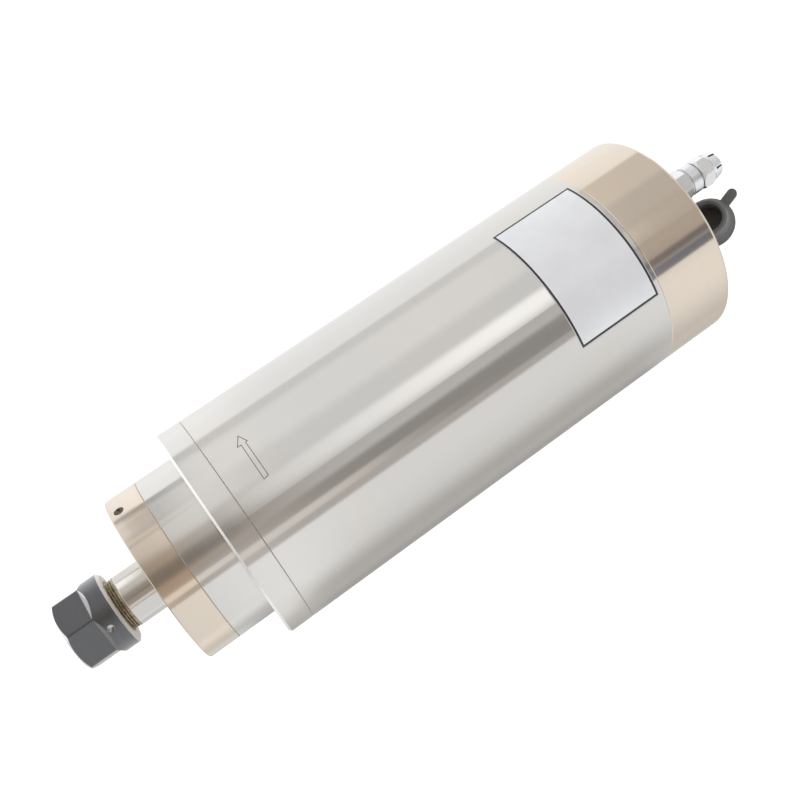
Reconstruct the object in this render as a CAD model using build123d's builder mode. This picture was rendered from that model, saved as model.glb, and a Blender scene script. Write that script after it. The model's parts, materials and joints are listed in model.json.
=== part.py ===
from build123d import *
from math import sin, cos, tan, radians, pi
import os

os.makedirs("parts", exist_ok=True)

# Motor spindle lying on its side. The spindle axis is X: the nose points to -X,
# the rear cap and its fittings point to +X, the rating label faces +Z.
# The origin is on the axis, in the plane of the front shoulder. Millimetres.

# ---------------------------------------------------------------- dimensions
body_r = 50.0            # outside radius of the cylindrical body
sleeve_in_r = 47.0       # inside radius of the outer sleeve
flange_x = 11.6          # joint between front housing flange and sleeve
cap_x = 206.2            # joint between sleeve and rear cap
rear_x = 239.8           # rear face
nose_r = 39.0            # front housing nose and cover ring
seam_x = -17.5           # joint between cover ring and front housing
ring_x = -32.1           # front face of the cover ring
edge = 1.0               # chamfer on the turned outer edges
ring_edge = 0.45         # broken front edge of the cover ring
seam = 0.25              # small chamfer at the joints

shaft_r = 11.6           # ground shaft nose
thread_r = 11.5          # crest of the nose thread
thread_root_r = 10.95
pitch = 1.0
shaft_face_x = -66.5
thread_end_x = -46.8
taper_mouth_r = 10.1     # 8 degree collet seat
taper_deg = 8.0
taper_end_x = -40.5

seat_f_r = 12.5          # front bearings 25 x 47 x 12
bore_f_r = 23.5
pitch_f_r = 18.0
ball_f_r = 3.175
race_f_r = 3.2
front_x = [-12.0, 3.0]   # front faces of the two front bearings
width_f = 12.0

seat_r_r = 8.5           # rear bearings 17 x 35 x 10
bore_r_r = 17.5
pitch_r_r = 13.0
ball_r_r = 2.38
race_r_r = 2.4
rear_bx = [183.0, 195.0]
width_r = 10.0

stator_r = 40.4
stator_bore_r = 24.1
rotor_r = 23.6
core_x0, core_x1 = 55.0, 165.0

nut_front_x = -73.4
nut_rear_x = -50.6
nut_r = 16.75
nut_af = 29.4
nut_phase = 24.4         # turns a flat normal away from the label side

fit_a = (11.1, 31.0)     # water inlet, (Y, Z)
fit_b = (27.0, -18.9)    # water outlet
conn = (-22.9, -7.3)     # power connector

label_x0, label_x1 = 162.2, 204.2
label_t = 0.06
label_from, label_to = -50.0, 26.0   # degrees about X, 0 = +Z, positive to -Y

cap_c = Vector(261.65, -10.06, 12.0)          # dust cap flange centre
cap_d = Vector(-0.427, 0.255, 0.867).normalized()  # towards the cap's mouth
cap_t = Vector(0.883, 0.322, 0.341)           # towards the pull tab
cap_t = (cap_t - cap_d * cap_t.dot(cap_d)).normalized()


# ================================================================ front end
# Cover ring: front wall with a close bore round the shaft, labyrinth recess,
# spigot that clamps the bearing outer rings, spanner hole in the rim.
with BuildPart() as front_cover_ring:
    with BuildSketch(Plane.XZ):
        with BuildLine():
            Polyline((ring_x, 12.1), (ring_x, nose_r - ring_edge), (ring_x + ring_edge, nose_r),
                     (seam_x - seam, nose_r), (seam_x, nose_r - seam),
                     (seam_x, 23.4), (-12.0, 23.4), (-12.0, 22.0),
                     (-26.0, 22.0), (-26.0, 12.1), close=True)
        make_face()
    revolve(axis=Axis.X)
    with BuildSketch(Plane.YZ.offset(ring_x)) as s_cb:
        with PolarLocations(31.0, 6, start_angle=15):
            Circle(3.7)
    extrude(amount=4.4, mode=Mode.SUBTRACT)
    with BuildSketch(Plane.YZ.offset(ring_x)):
        with PolarLocations(31.0, 6, start_angle=15):
            Circle(2.25)
    extrude(amount=20.0, mode=Mode.SUBTRACT)
    hole_plane = Plane(origin=(-27.9, nose_r * sin(radians(53)), nose_r * cos(radians(53))),
                       x_dir=(1, 0, 0),
                       z_dir=(0, sin(radians(53)), cos(radians(53))))
    with BuildSketch(hole_plane.offset(-9.0)):
        Circle(2.2)
    extrude(amount=12.0, mode=Mode.SUBTRACT)
front_cover_ring.part.label = "front_cover_ring"
export_step(front_cover_ring.part, "parts/front_cover_ring.step")

# Set screw sunk in the spanner hole.
with BuildPart() as cover_set_screw:
    with BuildSketch(hole_plane.offset(-9.0)):
        Circle(2.15)
    extrude(amount=6.6)
    with BuildSketch(hole_plane.offset(-2.4)):
        RegularPolygon(1.15, 6)
    extrude(amount=-2.2, mode=Mode.SUBTRACT)
cover_set_screw.part.label = "cover_set_screw"
export_step(cover_set_screw.part, "parts/cover_set_screw.step")

# Six socket head screws that hold the cover ring.
with BuildPart() as cover_screws:
    with BuildSketch(Plane.YZ.offset(ring_x + 0.3)):
        with PolarLocations(31.0, 6, start_angle=15):
            Circle(3.5)
    extrude(amount=4.1)
    with BuildSketch(Plane.YZ.offset(ring_x + 4.4)):
        with PolarLocations(31.0, 6, start_angle=15):
            Circle(1.98)
    extrude(amount=18.0)
    with BuildSketch(Plane.YZ.offset(ring_x + 0.3)):
        with PolarLocations(31.0, 6, start_angle=15):
            RegularPolygon(1.73, 6)
    extrude(amount=2.2, mode=Mode.SUBTRACT)
cover_screws.part.label = "cover_screws"
export_step(cover_screws.part, "parts/cover_screws.step")

# Flat seal between cover ring and housing, set back from the rim.
with BuildPart() as cover_seal:
    with BuildSketch(Plane.XZ):
        with BuildLine():
            Polyline((seam_x, 34.6), (seam_x, 37.2), (seam_x + 0.9, 37.2), (seam_x + 0.9, 34.6), close=True)
        make_face()
    revolve(axis=Axis.X)
cover_seal.part.label = "cover_seal"
export_step(cover_seal.part, "parts/cover_seal.step")

# Front bearing housing: nose, body flange, pilot into the sleeve.
with BuildPart() as front_housing:
    with BuildSketch(Plane.XZ):
        with BuildLine():
            Polyline((seam_x, bore_f_r), (seam_x, 34.6), (seam_x + 0.9, 34.6), (seam_x + 0.9, 37.2),
                     (seam_x, 37.2), (seam_x, nose_r - seam), (seam_x + seam, nose_r),
                     (0, nose_r), (0, body_r - edge), (edge, body_r),
                     (flange_x - seam, body_r), (flange_x, body_r - seam), (flange_x, 46.95),
                     (24.0, 46.95),
                     (24.0, 21.0), (15.0, 21.0), (15.0, bore_f_r), close=True)
        make_face()
    revolve(axis=Axis.X)
    with BuildSketch(Plane.YZ.offset(seam_x)):
        with PolarLocations(31.0, 6, start_angle=15):
            Circle(2.0)
    extrude(amount=12.0, mode=Mode.SUBTRACT)
    with BuildSketch(Plane.YZ):
        with PolarLocations(44.5, 6, start_angle=45):
            Circle(3.7)
    extrude(amount=4.4, mode=Mode.SUBTRACT)
    with BuildSketch(Plane.YZ):
        with PolarLocations(44.5, 6, start_angle=45):
            Circle(2.25)
    extrude(amount=30.0, mode=Mode.SUBTRACT)
front_housing.part.label = "front_housing"
export_step(front_housing.part, "parts/front_housing.step")

# Six socket head screws through the shoulder into the cooling jacket.
with BuildPart() as housing_screws:
    with BuildSketch(Plane.YZ.offset(0.3)):
        with PolarLocations(44.5, 6, start_angle=45):
            Circle(3.5)
    extrude(amount=4.1)
    with BuildSketch(Plane.YZ.offset(4.4)):
        with PolarLocations(44.5, 6, start_angle=45):
            Circle(1.98)
    extrude(amount=27.0)
    with BuildSketch(Plane.YZ.offset(0.3)):
        with PolarLocations(44.5, 6, start_angle=45):
            RegularPolygon(1.73, 6)
    extrude(amount=2.2, mode=Mode.SUBTRACT)
housing_screws.part.label = "housing_screws"
export_step(housing_screws.part, "parts/housing_screws.step")

# ---------------------------------------------------------------- front bearings
with BuildPart() as front_outer_rings:
    with BuildSketch(Plane.XZ):
        for x in front_x:
            with BuildLine():
                Polyline((x, 20.4), (x, bore_f_r), (x + width_f, bore_f_r), (x + width_f, 20.4), close=True)
            make_face()
        with Locations(*[(x + width_f / 2, pitch_f_r) for x in front_x]):
            Circle(race_f_r, mode=Mode.SUBTRACT)
    revolve(axis=Axis.X)
front_outer_rings.part.label = "front_outer_rings"
export_step(front_outer_rings.part, "parts/front_outer_rings.step")

with BuildPart() as front_inner_rings:
    with BuildSketch(Plane.XZ):
        for x in front_x:
            with BuildLine():
                Polyline((x, seat_f_r), (x, 15.6), (x + width_f, 15.6), (x + width_f, seat_f_r), close=True)
            make_face()
        with Locations(*[(x + width_f / 2, pitch_f_r) for x in front_x]):
            Circle(race_f_r, mode=Mode.SUBTRACT)
    revolve(axis=Axis.X)
front_inner_rings.part.label = "front_inner_rings"
export_step(front_inner_rings.part, "parts/front_inner_rings.step")

with BuildPart() as front_balls:
    for x in front_x:
        with Locations(*[(x + width_f / 2, pitch_f_r * cos(radians(30 * i)), pitch_f_r * sin(radians(30 * i)))
                         for i in range(12)]):
            Sphere(ball_f_r)
front_balls.part.label = "front_balls"
export_step(front_balls.part, "parts/front_balls.step")

with BuildPart() as front_cages:
    with BuildSketch(Plane.XZ):
        for x in front_x:
            with BuildLine():
                Polyline((x + 2.4, 17.0), (x + 2.4, 19.0), (x + 9.6, 19.0), (x + 9.6, 17.0), close=True)
            make_face()
    revolve(axis=Axis.X)
    for x in front_x:
        for i in range(12):
            a = radians(30 * i)
            with BuildSketch(Plane(origin=(x + width_f / 2, 15.5 * cos(a), 15.5 * sin(a)),
                                   x_dir=(1, 0, 0), z_dir=(0, cos(a), sin(a)))):
                Circle(3.25)
            extrude(amount=5.0, mode=Mode.SUBTRACT)
front_cages.part.label = "front_cages"
export_step(front_cages.part, "parts/front_cages.step")

with BuildPart() as front_outer_spacer:
    with BuildSketch(Plane.XZ):
        with BuildLine():
            Polyline((0, 20.8), (0, 23.45), (3, 23.45), (3, 20.8), close=True)
        make_face()
    revolve(axis=Axis.X)
front_outer_spacer.part.label = "front_outer_spacer"
export_step(front_outer_spacer.part, "parts/front_outer_spacer.step")

with BuildPart() as front_inner_spacer:
    with BuildSketch(Plane.XZ):
        with BuildLine():
            Polyline((0, seat_f_r), (0, 15.2), (3, 15.2), (3, seat_f_r), close=True)
        make_face()
    revolve(axis=Axis.X)
front_inner_spacer.part.label = "front_inner_spacer"
export_step(front_inner_spacer.part, "parts/front_inner_spacer.step")

# Labyrinth ring on the shaft, running in the recess of the cover ring.
with BuildPart() as labyrinth_ring:
    with BuildSketch(Plane.XZ):
        with BuildLine():
            Polyline((-24, seat_f_r), (-24, 21.4), (-21.5, 21.4), (-21.5, 20.2), (-19.5, 20.2),
                     (-19.5, 21.4), (-17.0, 21.4), (-17.0, 20.2), (-15, 20.2), (-15, 15.2),
                     (-12, 15.2), (-12, seat_f_r), close=True)
        make_face()
    revolve(axis=Axis.X)
labyrinth_ring.part.label = "labyrinth_ring"
export_step(labyrinth_ring.part, "parts/labyrinth_ring.step")

# ================================================================ body
with BuildPart() as outer_sleeve:
    with BuildSketch(Plane.XZ):
        with BuildLine():
            Polyline((flange_x, sleeve_in_r), (flange_x, body_r - seam), (flange_x + seam, body_r),
                     (cap_x - seam, body_r), (cap_x, body_r - seam), (cap_x, sleeve_in_r), close=True)
        make_face()
    revolve(axis=Axis.X)
outer_sleeve.part.label = "outer_sleeve"
export_step(outer_sleeve.part, "parts/outer_sleeve.step")

# Cooling jacket: ten water channels between lands that touch the sleeve,
# joined one to the next by notches on alternate sides.
channels = 10
ch_w, ch_pitch, ch_x = 11.0, 14.4, 36.0
jacket = [(24.0, stator_r), (24.0, 46.95)]
jacket += [(32.5, 46.95), (32.5, 44.9), (34.9, 44.9), (34.9, 46.95)]
for i in range(channels):
    x = ch_x + i * ch_pitch
    jacket += [(x, 46.95), (x, 43.4), (x + ch_w, 43.4), (x + ch_w, 46.95)]
jacket += [(182.0, 46.95), (182.0, stator_r)]
with BuildPart() as cooling_jacket:
    with BuildSketch(Plane.XZ):
        with BuildLine():
            Polyline(*jacket, close=True)
        make_face()
    revolve(axis=Axis.X)
    for i in range(channels - 1):
        side = 1 if i % 2 else -1
        with BuildSketch(Plane.XY.offset(43.4 * side)):
            with Locations((ch_x + i * ch_pitch + ch_w + 1.7, 0)):
                Rectangle(5.0, 9.0)
        extrude(amount=6.0 * side, mode=Mode.SUBTRACT)
    with BuildSketch(Plane.YZ.offset(24.0)):
        with PolarLocations(44.5, 6, start_angle=45):
            Circle(2.0)
    extrude(amount=8.0, mode=Mode.SUBTRACT)
cooling_jacket.part.label = "cooling_jacket"
export_step(cooling_jacket.part, "parts/cooling_jacket.step")

with BuildPart() as sleeve_o_rings:
    with BuildSketch(Plane.XZ):
        with Locations((33.7, 45.93), (195.2, 45.93)):
            Circle(1.02)
    revolve(axis=Axis.X)
sleeve_o_rings.part.label = "sleeve_o_rings"
export_step(sleeve_o_rings.part, "parts/sleeve_o_rings.step")

# Laminated stator pack with 24 open slots.
slots = 24
with BuildPart() as stator_core:
    with BuildSketch(Plane.YZ.offset(core_x0)):
        Circle(stator_r)
        Circle(stator_bore_r, mode=Mode.SUBTRACT)
        with PolarLocations(29.6, slots):
            Rectangle(8.4, 4.0, mode=Mode.SUBTRACT)
        with PolarLocations(24.8, slots):
            Rectangle(2.4, 1.6, mode=Mode.SUBTRACT)
    extrude(amount=core_x1 - core_x0)
stator_core.part.label = "stator_core"
export_step(stator_core.part, "parts/stator_core.step")

# Copper winding: a bar in each slot and an end turn bundle at each end.
with BuildPart() as stator_winding:
    with BuildSketch(Plane.YZ.offset(core_x0 - 0.3)):
        with PolarLocations(29.6, slots):
            Rectangle(7.8, 3.4)
    extrude(amount=core_x1 - core_x0 + 0.6)
    for a, b in ((38.0, core_x0 - 0.3), (core_x1 + 0.3, 177.0)):
        with BuildSketch(Plane.XZ):
            with Locations(((a + b) / 2, 31.8)):
                RectangleRounded(b - a, 12.4, 3.0)
        revolve(axis=Axis.X)
stator_winding.part.label = "stator_winding"
export_step(stator_winding.part, "parts/stator_winding.step")

# ---------------------------------------------------------------- rear bearing bracket
wet = 46.95
with BuildPart() as rear_bracket:
    with BuildSketch(Plane.XZ):
        with BuildLine():
            Polyline((179, 15.0), (179, 23.5), (182, 23.5), (182, wet), (186, wet), (186, 43.0),
                     (190, 43.0), (190, wet), (194, wet), (194, 44.9), (196.4, 44.9), (196.4, wet),
                     (cap_x, wet), (cap_x, bore_r_r), (181, bore_r_r), (181, 15.0), close=True)
        make_face()
    revolve(axis=Axis.X)
    with BuildSketch(Plane.YZ.offset(cap_x)):
        with Locations(fit_a, fit_b):
            Circle(2.5)
    extrude(amount=-18.0, mode=Mode.SUBTRACT)
    for y, z in (fit_a, fit_b):
        r = (y * y + z * z) ** 0.5
        with BuildSketch(Plane(origin=(188.0, y, z), x_dir=(1, 0, 0), z_dir=(0, y / r, z / r))):
            Circle(1.9)
        extrude(amount=11.0, mode=Mode.SUBTRACT)
    with BuildSketch(Plane.YZ.offset(cap_x)):
        with PolarLocations(42.0, 6, start_angle=-10):
            Circle(2.0)
    extrude(amount=-9.0, mode=Mode.SUBTRACT)
    with BuildSketch(Plane.YZ.offset(cap_x)):
        with Locations((-19.5, -14.0)):
            Circle(3.2)
    extrude(amount=-28.0, mode=Mode.SUBTRACT)
rear_bracket.part.label = "rear_bracket"
export_step(rear_bracket.part, "parts/rear_bracket.step")

with BuildPart() as preload_spring:
    with BuildSketch(Plane.XZ):
        with BuildLine():
            Polyline((181.0, 15.4), (181.0, 17.2), (181.5, 17.2), (183.0, 17.2), (183.0, 16.6), (181.6, 16.6),
                     (181.6, 15.4), close=True)
        make_face()
    revolve(axis=Axis.X)
preload_spring.part.label = "preload_spring"
export_step(preload_spring.part, "parts/preload_spring.step")

with BuildPart() as rear_outer_rings:
    with BuildSketch(Plane.XZ):
        for x in rear_bx:
            with BuildLine():
                Polyline((x, 14.8), (x, bore_r_r), (x + width_r, bore_r_r), (x + width_r, 14.8), close=True)
            make_face()
        with Locations(*[(x + width_r / 2, pitch_r_r) for x in rear_bx]):
            Circle(race_r_r, mode=Mode.SUBTRACT)
    revolve(axis=Axis.X)
rear_outer_rings.part.label = "rear_outer_rings"
export_step(rear_outer_rings.part, "parts/rear_outer_rings.step")

with BuildPart() as rear_inner_rings:
    with BuildSketch(Plane.XZ):
        for x in rear_bx:
            with BuildLine():
                Polyline((x, seat_r_r), (x, 11.2), (x + width_r, 11.2), (x + width_r, seat_r_r), close=True)
            make_face()
        with Locations(*[(x + width_r / 2, pitch_r_r) for x in rear_bx]):
            Circle(race_r_r, mode=Mode.SUBTRACT)
    revolve(axis=Axis.X)
rear_inner_rings.part.label = "rear_inner_rings"
export_step(rear_inner_rings.part, "parts/rear_inner_rings.step")

with BuildPart() as rear_balls:
    for x in rear_bx:
        with Locations(*[(x + width_r / 2, pitch_r_r * cos(radians(36 * i)), pitch_r_r * sin(radians(36 * i)))
                         for i in range(10)]):
            Sphere(ball_r_r)
rear_balls.part.label = "rear_balls"
export_step(rear_balls.part, "parts/rear_balls.step")

with BuildPart() as rear_cages:
    with BuildSketch(Plane.XZ):
        for x in rear_bx:
            with BuildLine():
                Polyline((x + 2.2, 12.2), (x + 2.2, 13.8), (x + 7.8, 13.8), (x + 7.8, 12.2), close=True)
            make_face()
    revolve(axis=Axis.X)
    for x in rear_bx:
        for i in range(10):
            a = radians(36 * i)
            with BuildSketch(Plane(origin=(x + width_r / 2, 11.0 * cos(a), 11.0 * sin(a)),
                                   x_dir=(1, 0, 0), z_dir=(0, cos(a), sin(a)))):
                Circle(2.45)
            extrude(amount=4.0, mode=Mode.SUBTRACT)
rear_cages.part.label = "rear_cages"
export_step(rear_cages.part, "parts/rear_cages.step")

with BuildPart() as rear_spacers:
    with BuildSketch(Plane.XZ):
        with BuildLine():
            Polyline((193, 15.2), (193, 17.45), (195, 17.45), (195, 15.2), close=True)
        make_face()
    revolve(axis=Axis.X)
rear_spacers.part.label = "rear_outer_spacer"
export_step(rear_spacers.part, "parts/rear_outer_spacer.step")

with BuildPart() as rear_inner_spacer:
    with BuildSketch(Plane.XZ):
        with BuildLine():
            Polyline((193, seat_r_r), (193, 10.8), (195, 10.8), (195, seat_r_r), close=True)
        make_face()
    revolve(axis=Axis.X)
rear_inner_spacer.part.label = "rear_inner_spacer"
export_step(rear_inner_spacer.part, "parts/rear_inner_spacer.step")

# ---------------------------------------------------------------- rear cap
with BuildPart() as rear_cap:
    with BuildSketch(Plane.XZ):
        with BuildLine():
            Polyline((cap_x, 0), (cap_x, body_r - seam), (cap_x + seam, body_r),
                     (rear_x - 1.5, body_r), (rear_x - 0.75, body_r - 0.2), (rear_x - 0.2, body_r - 0.75),
                     (rear_x, body_r - 1.5), (rear_x, 0), close=True)
        make_face()
    revolve(axis=Axis.X)
    with BuildSketch(Plane.YZ.offset(cap_x)):
        Circle(19.0)
        with Locations(conn):
            Circle(11.5)
    extrude(amount=24.0, mode=Mode.SUBTRACT)
    with BuildSketch(Plane.YZ.offset(rear_x)):
        with Locations(conn):
            Circle(9.2)
    extrude(amount=-12.0, mode=Mode.SUBTRACT)
    with BuildSketch(Plane.YZ.offset(rear_x)):
        with Locations(fit_a, fit_b):
            Circle(4.8)
    extrude(amount=-9.8, mode=Mode.SUBTRACT)
    with BuildSketch(Plane.YZ.offset(rear_x)):
        with Locations(fit_a, fit_b):
            Circle(2.5)
    extrude(amount=-34.0, mode=Mode.SUBTRACT)
    with BuildSketch(Plane.YZ.offset(cap_x)):
        with Locations(fit_a, fit_b):
            Circle(4.6)
            Circle(2.5, mode=Mode.SUBTRACT)
    extrude(amount=1.4, mode=Mode.SUBTRACT)
    with BuildSketch(Plane.YZ.offset(rear_x)):
        with PolarLocations(42.0, 6, start_angle=-10):
            Circle(3.7)
    extrude(amount=-4.4, mode=Mode.SUBTRACT)
    with BuildSketch(Plane.YZ.offset(rear_x)):
        with PolarLocations(42.0, 6, start_angle=-10):
            Circle(2.25)
    extrude(amount=-34.0, mode=Mode.SUBTRACT)
    with BuildSketch(Plane.YZ.offset(rear_x)):
        with Locations(conn):
            with GridLocations(17.6, 17.6, 2, 2):
                Circle(1.25)
    extrude(amount=-7.0, mode=Mode.SUBTRACT)
rear_cap.part.label = "rear_cap"
export_step(rear_cap.part, "parts/rear_cap.step")

with BuildPart() as rear_cap_screws:
    with BuildSketch(Plane.YZ.offset(rear_x - 0.3)):
        with PolarLocations(42.0, 6, start_angle=-10):
            Circle(3.5)
    extrude(amount=-4.1)
    with BuildSketch(Plane.YZ.offset(rear_x - 4.4)):
        with PolarLocations(42.0, 6, start_angle=-10):
            Circle(1.98)
    extrude(amount=-37.0)
    with BuildSketch(Plane.YZ.offset(rear_x - 0.3)):
        with PolarLocations(42.0, 6, start_angle=-10):
            RegularPolygon(1.73, 6)
    extrude(amount=-2.2, mode=Mode.SUBTRACT)
rear_cap_screws.part.label = "rear_cap_screws"
export_step(rear_cap_screws.part, "parts/rear_cap_screws.step")

# O-rings round the two water passages where cap and bracket meet.
with BuildPart() as water_o_rings:
    for y, z in (fit_a, fit_b):
        with BuildSketch(Plane(origin=(cap_x + 0.7, y, z), x_dir=(1, 0, 0), z_dir=(0, 0, 1))):
            with Locations((0, 3.6)):
                Circle(0.68)
        revolve(axis=Axis((cap_x, y, z), (1, 0, 0)))
water_o_rings.part.label = "water_o_rings"
export_step(water_o_rings.part, "parts/water_o_rings.step")

# Rating plate foil, left blank.
with BuildPart() as label_foil:
    with BuildSketch(Plane(origin=(0, 0, 0), x_dir=(1, 0, 0),
                           z_dir=(0, -cos(radians(label_from)), -sin(radians(label_from))))):
        with BuildLine():
            Polyline((label_x0, body_r), (label_x0, body_r + label_t), (label_x1, body_r + label_t),
                     (label_x1, body_r), close=True)
        make_face()
    revolve(axis=Axis.X, revolution_arc=label_to - label_from)
label_foil.part.label = "label_foil"
export_step(label_foil.part, "parts/label_foil.step")

# ================================================================ rotor
thread = [(shaft_face_x, taper_mouth_r), (shaft_face_x, 10.8), (shaft_face_x + 0.7, thread_r)]
x = shaft_face_x + 0.7
while x + pitch < thread_end_x - 0.05:
    thread += [(x + 0.12, thread_r), (x + 0.5, thread_root_r), (x + 0.88, thread_r)]
    x += pitch
thread += [(thread_end_x - 0.1, thread_r), (thread_end_x + 0.2, shaft_r)]
taper_end_r = taper_mouth_r - (taper_end_x - shaft_face_x) * tan(radians(taper_deg))
with BuildPart() as spindle_shaft:
    with BuildSketch(Plane.XZ):
        with BuildLine():
            Polyline(*thread, (-24.2, shaft_r), (-24.0, seat_f_r), (15, seat_f_r), (15, 15.2), (20, 15.2),
                     (20, 13.2), (43.8, 13.2), (44, 13.5), (176, 13.5), (176, 10.6), (183, 10.6),
                     (183, seat_r_r), (205, seat_r_r), (205.2, 8.2), (213, 8.2), (213.8, 7.4),
                     (213.8, 0), (-23.0, 0), (-26.0, 5.6), (taper_end_x, 5.6),
                     (taper_end_x, taper_end_r), close=True)
        make_face()
    revolve(axis=Axis.X)
spindle_shaft.part.label = "spindle_shaft"
export_step(spindle_shaft.part, "parts/spindle_shaft.step")

with BuildPart() as rotor_core:
    with BuildSketch(Plane.YZ.offset(core_x0)):
        Circle(rotor_r)
        Circle(13.5, mode=Mode.SUBTRACT)
        with PolarLocations(20.6, 18):
            Rectangle(3.4, 2.2, mode=Mode.SUBTRACT)
    extrude(amount=core_x1 - core_x0)
rotor_core.part.label = "rotor_core"
export_step(rotor_core.part, "parts/rotor_core.step")

# Cast cage: bars through the rotor core with a ring at each end.
with BuildPart() as rotor_cage:
    with BuildSketch(Plane.YZ.offset(core_x0 - 0.5)):
        with PolarLocations(20.6, 18):
            Rectangle(3.4, 2.2)
    extrude(amount=core_x1 - core_x0 + 1.0)
    for a in (core_x0 - 6.0, core_x1):
        with BuildSketch(Plane.YZ.offset(a)):
            Circle(23.3)
            Circle(16.0, mode=Mode.SUBTRACT)
        extrude(amount=6.0)
rotor_cage.part.label = "rotor_cage"
export_step(rotor_cage.part, "parts/rotor_cage.step")

with BuildPart() as balance_rings:
    with BuildSketch(Plane.XZ):
        for a in (44.0, 171.2):
            with BuildLine():
                Polyline((a, 13.5), (a, 21.0), (a + 4.8, 21.0), (a + 4.8, 13.5), close=True)
            make_face()
    revolve(axis=Axis.X)
    with BuildSketch(Plane.YZ.offset(43.5)):
        with Locations((0, 18.2), (12.0, 13.0)):
            Circle(1.25)
    extrude(amount=3.5, mode=Mode.SUBTRACT)
balance_rings.part.label = "balance_rings"
export_step(balance_rings.part, "parts/balance_rings.step")

with BuildPart() as rear_lock_nut:
    with BuildSketch(Plane.YZ.offset(205.2)):
        Circle(13.5)
        Circle(8.2, mode=Mode.SUBTRACT)
        with PolarLocations(13.5, 4):
            Rectangle(3.0, 4.0, mode=Mode.SUBTRACT)
    extrude(amount=6.5)
rear_lock_nut.part.label = "rear_lock_nut"
export_step(rear_lock_nut.part, "parts/rear_lock_nut.step")

# ================================================================ collet and nut
gap = 0.03
c_x0 = -71.0             # front face of the collet
groove_x = -66.2         # extraction groove next to the taper
big_r = taper_mouth_r - gap
with BuildPart() as collet:
    small_x = taper_end_x - 1.5
    small_r = taper_mouth_r - (small_x - shaft_face_x) * tan(radians(taper_deg)) - gap
    with BuildSketch(Plane.XZ):
        with BuildLine():
            Polyline((c_x0, 3.0), (c_x0, 7.0), (c_x0 + 3.2, 8.85), (groove_x - 0.0, 8.85 + 0.0),
                     (groove_x, big_r), (shaft_face_x + 0.4, big_r - 0.06), (small_x, small_r),
                     (small_x, 4.2), (-52.0, 4.2), (-52.0, 3.0), close=True)
        make_face()
    revolve(axis=Axis.X)
    with BuildSketch(Plane.YZ.offset(c_x0 - 0.5)):
        with PolarLocations(7.0, 4):
            Rectangle(9.0, 0.7)
    extrude(amount=24.0, mode=Mode.SUBTRACT)
    with BuildSketch(Plane.YZ.offset(small_x + 0.5)):
        with PolarLocations(7.0, 4, start_angle=45):
            Rectangle(9.0, 0.7)
    extrude(amount=-22.0, mode=Mode.SUBTRACT)
collet.part.label = "collet"
export_step(collet.part, "parts/collet.step")

# Hexagon nut with a round skirt. Each flat ends in a 45 degree run-out ramp.
hex_end_x = -60.2
with BuildPart() as collet_nut:
    with BuildSketch(Plane.XZ):
        with BuildLine():
            Polyline((nut_front_x, 7.6), (nut_front_x, 14.0), (nut_front_x + 1.6, nut_r),
                     (-51.7, nut_r), (nut_rear_x, 15.3),
                     (nut_rear_x, 12.4), (-51.4, thread_r + 0.1),
                     (-67.0, thread_r + 0.1), (-67.0, 9.2), (-68.4, 9.2), (-71.9, 7.6), close=True)
        make_face()
    revolve(axis=Axis.X)
    for k in range(6):
        flat_a = radians(nut_phase + 60.0 * k)
        with BuildSketch(Plane(origin=(0, 0, 0), x_dir=(1, 0, 0), z_dir=(0, -cos(flat_a), -sin(flat_a)))):
            with BuildLine():
                Polyline((nut_front_x - 1.0, nut_af / 2), (hex_end_x, nut_af / 2),
                         (hex_end_x + 4.0, nut_af / 2 + 4.0), (nut_front_x - 1.0, nut_af / 2 + 4.0), close=True)
            make_face()
        extrude(amount=14.0, both=True, mode=Mode.SUBTRACT)
    hole_a = radians(18.9)
    with BuildSketch(Plane(origin=(-56.5, -14.0 * sin(hole_a), 14.0 * cos(hole_a)), x_dir=(1, 0, 0),
                           z_dir=(0, -sin(hole_a), cos(hole_a)))):
        Circle(1.65)
    extrude(amount=8.0, mode=Mode.SUBTRACT)
collet_nut.part.label = "collet_nut"
export_step(collet_nut.part, "parts/collet_nut.step")

# ================================================================ water fittings
fit_hex_phase = 3.5
nut_hex_phase = -9.0
fitting_profile = ((rear_x + 1.0, 0), (rear_x + 1.0, 7.5), (rear_x + 10.4, 7.5), (rear_x + 11.5, 6.15),
                   (rear_x + 11.9, 6.15), (rear_x + 12.1, 6.8), (rear_x + 16.7, 6.8), (rear_x + 17.0, 6.5),
                   (rear_x + 17.0, 5.2), (rear_x + 22.7, 5.2), (rear_x + 22.7, 0))
with BuildPart() as fitting_body_in:
    with BuildSketch(Plane.YZ.offset(rear_x - 9.6)):
        with Locations(fit_a):
            Circle(4.75)
    extrude(amount=11.0)
    with BuildSketch(Plane(origin=(0, fit_a[0], fit_a[1]), x_dir=(1, 0, 0), z_dir=(0, -1, 0))):
        with BuildLine():
            Polyline(*fitting_profile, close=True)
        make_face()
    revolve(axis=Axis((0, fit_a[0], fit_a[1]), (1, 0, 0)))
    with BuildSketch(Plane.YZ.offset(rear_x + 1.0)):
        with Locations(fit_a):
            Circle(12.0)
            RegularPolygon(6.5, 6, major_radius=False, rotation=60 + fit_hex_phase, mode=Mode.SUBTRACT)
    extrude(amount=10.6, mode=Mode.SUBTRACT)
    with BuildSketch(Plane.YZ.offset(rear_x - 12.0)):
        with Locations(fit_a):
            Circle(2.5)
    extrude(amount=40.0, mode=Mode.SUBTRACT)
    with BuildSketch(Plane.YZ.offset(rear_x + 18.2)):
        with Locations(fit_a):
            Circle(4.1)
    extrude(amount=10.0, mode=Mode.SUBTRACT)
fitting_body_in.part.label = "fitting_body_in"
export_step(fitting_body_in.part, "parts/fitting_body_in.step")

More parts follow.
